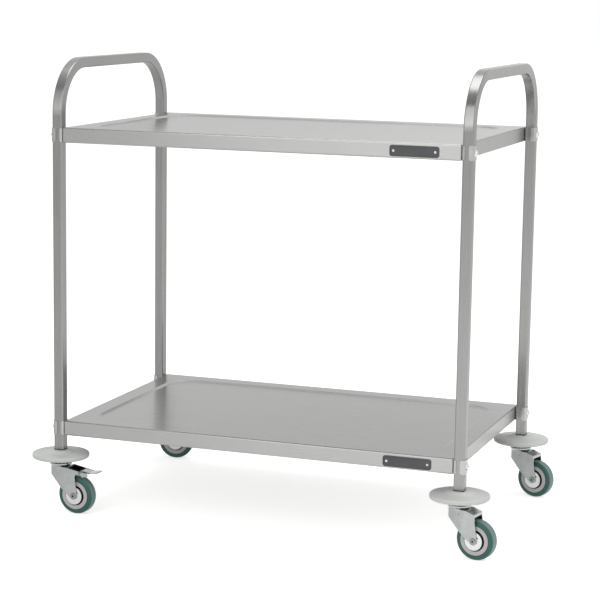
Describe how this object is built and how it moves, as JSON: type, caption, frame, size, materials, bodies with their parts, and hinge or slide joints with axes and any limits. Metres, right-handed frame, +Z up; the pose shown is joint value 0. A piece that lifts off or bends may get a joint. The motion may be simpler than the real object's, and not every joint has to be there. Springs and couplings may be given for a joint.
{
  "type": "serving trolley",
  "caption": "Serving trolley with recessed folded shelves, square-tube end frames bent into handles, round buffer discs and swivel casters, some with foot brakes.",
  "frame": {"origin": "on the floor under the middle of the trolley, midway between the legs", "axes": "+X along the length towards the end without brakes, +Y from the front to the back, +Z up"},
  "size_m": [0.9741, 0.617, 0.919],
  "materials": {
    "frame_tube": "brushed",
    "shelf_sheet": "brushed",
    "saddle": "bright",
    "fastener": "polished",
    "plug": "satin",
    "caster_steel": "zinc plated",
    "ball": "polished",
    "buffer": "satin",
    "thread_guard": "zinc plated",
    "wheel_core": "satin",
    "tyre": "satin",
    "bearing": "satin"
  },
  "bodies": {
    "frame": {"end_frame_left": "frame_tube", "end_frame_right": "frame_tube", "top_shelf": "shelf_sheet", "bottom_shelf": "shelf_sheet", "top_channel": "shelf_sheet", "bottom_channel": "shelf_sheet", "top_outer_saddles": "saddle", "bottom_outer_saddles": "saddle", "top_inner_saddles": "saddle", "bottom_inner_saddles": "saddle", "top_shelf_bolts": "fastener", "bottom_shelf_bolts": "fastener", "top_shelf_nuts": "fastener", "bottom_shelf_nuts": "fastener", "leg_plugs": "plug", "caster_stems": "caster_steel", "swivel_cups": "caster_steel", "swivel_balls": "ball", "buffer_disc_front_left": "buffer", "buffer_disc_front_right": "buffer", "buffer_disc_rear_left": "buffer", "buffer_disc_rear_right": "buffer"},
    "swivel_front_left": {"fork_front_left": "caster_steel", "axle_front_left": "caster_steel", "axle_sleeve_front_left": "caster_steel", "thread_guards_front_left": "thread_guard", "brake_pin_front_left": "caster_steel"},
    "wheel_front_left": {"wheel_core_front_left": "wheel_core", "tyre_front_left": "tyre", "wheel_bearing_front_left": "bearing"},
    "swivel_front_right": {"fork_front_right": "caster_steel", "axle_front_right": "caster_steel", "axle_sleeve_front_right": "caster_steel", "thread_guards_front_right": "thread_guard"},
    "wheel_front_right": {"wheel_core_front_right": "wheel_core", "tyre_front_right": "tyre", "wheel_bearing_front_right": "bearing"},
    "swivel_rear_left": {"fork_rear_left": "caster_steel", "axle_rear_left": "caster_steel", "axle_sleeve_rear_left": "caster_steel", "thread_guards_rear_left": "thread_guard", "brake_pin_rear_left": "caster_steel"},
    "wheel_rear_left": {"wheel_core_rear_left": "wheel_core", "tyre_rear_left": "tyre", "wheel_bearing_rear_left": "bearing"},
    "swivel_rear_right": {"fork_rear_right": "caster_steel", "axle_rear_right": "caster_steel", "axle_sleeve_rear_right": "caster_steel", "thread_guards_rear_right": "thread_guard"},
    "wheel_rear_right": {"wheel_core_rear_right": "wheel_core", "tyre_rear_right": "tyre", "wheel_bearing_rear_right": "bearing"},
    "pedal_front_left": {"brake_pedal_front_left": "caster_steel"},
    "pedal_rear_left": {"brake_pedal_rear_left": "caster_steel"}
  },
  "joints": [
    {"name": "swivel_front_left", "type": "hinge", "parent": "frame", "child": "swivel_front_left", "pos_m": [-0.4195, -0.2505, 0.1045], "axis": [0, 0, 1], "continuous": true},
    {"name": "wheel_front_left", "type": "hinge", "parent": "swivel_front_left", "child": "wheel_front_left", "pos_m": [-0.38109, -0.25319, 0.039], "axis": [0.0698, 0.9976, 0], "continuous": true},
    {"name": "swivel_front_right", "type": "hinge", "parent": "frame", "child": "swivel_front_right", "pos_m": [0.4195, -0.2505, 0.1045], "axis": [0, 0, 1], "continuous": true},
    {"name": "wheel_front_right", "type": "hinge", "parent": "swivel_front_right", "child": "wheel_front_right", "pos_m": [0.45729, -0.25785, 0.039], "axis": [0.1908, 0.9816, 0], "continuous": true},
    {"name": "swivel_rear_left", "type": "hinge", "parent": "frame", "child": "swivel_rear_left", "pos_m": [-0.4195, 0.2505, 0.1045], "axis": [0, 0, 1], "continuous": true},
    {"name": "wheel_rear_left", "type": "hinge", "parent": "swivel_rear_left", "child": "wheel_rear_left", "pos_m": [-0.38159, 0.25718, 0.039], "axis": [-0.1736, 0.9848, 0], "continuous": true},
    {"name": "swivel_rear_right", "type": "hinge", "parent": "frame", "child": "swivel_rear_right", "pos_m": [0.4195, 0.2505, 0.1045], "axis": [0, 0, 1], "continuous": true},
    {"name": "wheel_rear_right", "type": "hinge", "parent": "swivel_rear_right", "child": "wheel_rear_right", "pos_m": [0.45669, 0.24053, 0.039], "axis": [0.2588, 0.9659, 0], "continuous": true},
    {"name": "brake_front_left", "type": "hinge", "parent": "swivel_front_left", "child": "pedal_front_left", "pos_m": [-0.36663, -0.2542, 0.08711], "axis": [0.0698, 0.9976, 0], "range_deg": [0, 25]},
    {"name": "brake_rear_left", "type": "hinge", "parent": "swivel_rear_left", "child": "pedal_rear_left", "pos_m": [-0.3673, 0.2597, 0.08711], "axis": [-0.1736, 0.9848, 0], "range_deg": [0, 25]}
  ]
}
